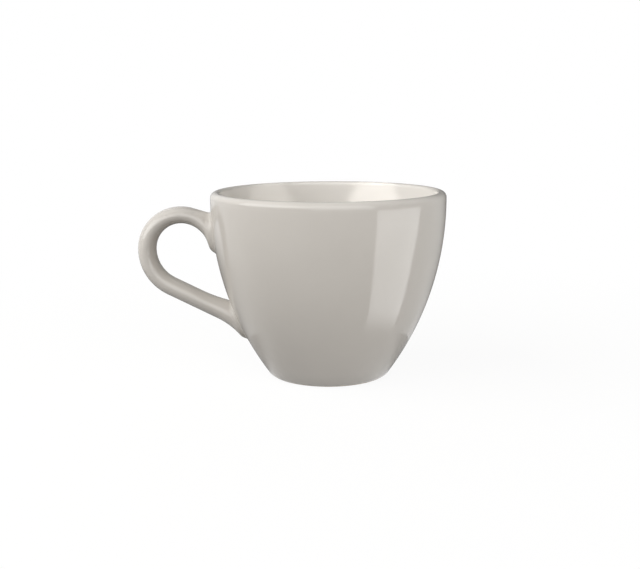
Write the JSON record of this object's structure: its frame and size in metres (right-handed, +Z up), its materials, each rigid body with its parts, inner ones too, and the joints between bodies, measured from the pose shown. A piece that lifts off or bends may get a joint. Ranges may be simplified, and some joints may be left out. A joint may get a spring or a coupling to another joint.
{
  "type": "tea cup",
  "caption": "Plain glazed ceramic tea cup: a tapered round bowl with a rounded lip, a hollow foot and a loop handle for a finger, made to hold a hot drink.",
  "frame": {"origin": "on the bowl's axis, in the plane of the flat foot rim that the cup stands on", "axes": "+Z up along the bowl's axis, the handle points to -X, +Y completes the right-handed frame"},
  "size_m": [0.1184, 0.09, 0.0715],
  "materials": {
    "clay": "bare fired stoneware, pale and slightly rough",
    "slip": "fired joining slip, bare and fine-grained",
    "glaze": "smooth glossy warm grey glaze"
  },
  "bodies": {
    "root": {"bowl": "clay", "handle": "clay", "upper_slip_joint": "slip", "lower_slip_joint": "slip", "bowl_glaze": "glaze", "handle_glaze": "glaze", "base_glaze": "glaze"}
  },
  "joints": []
}
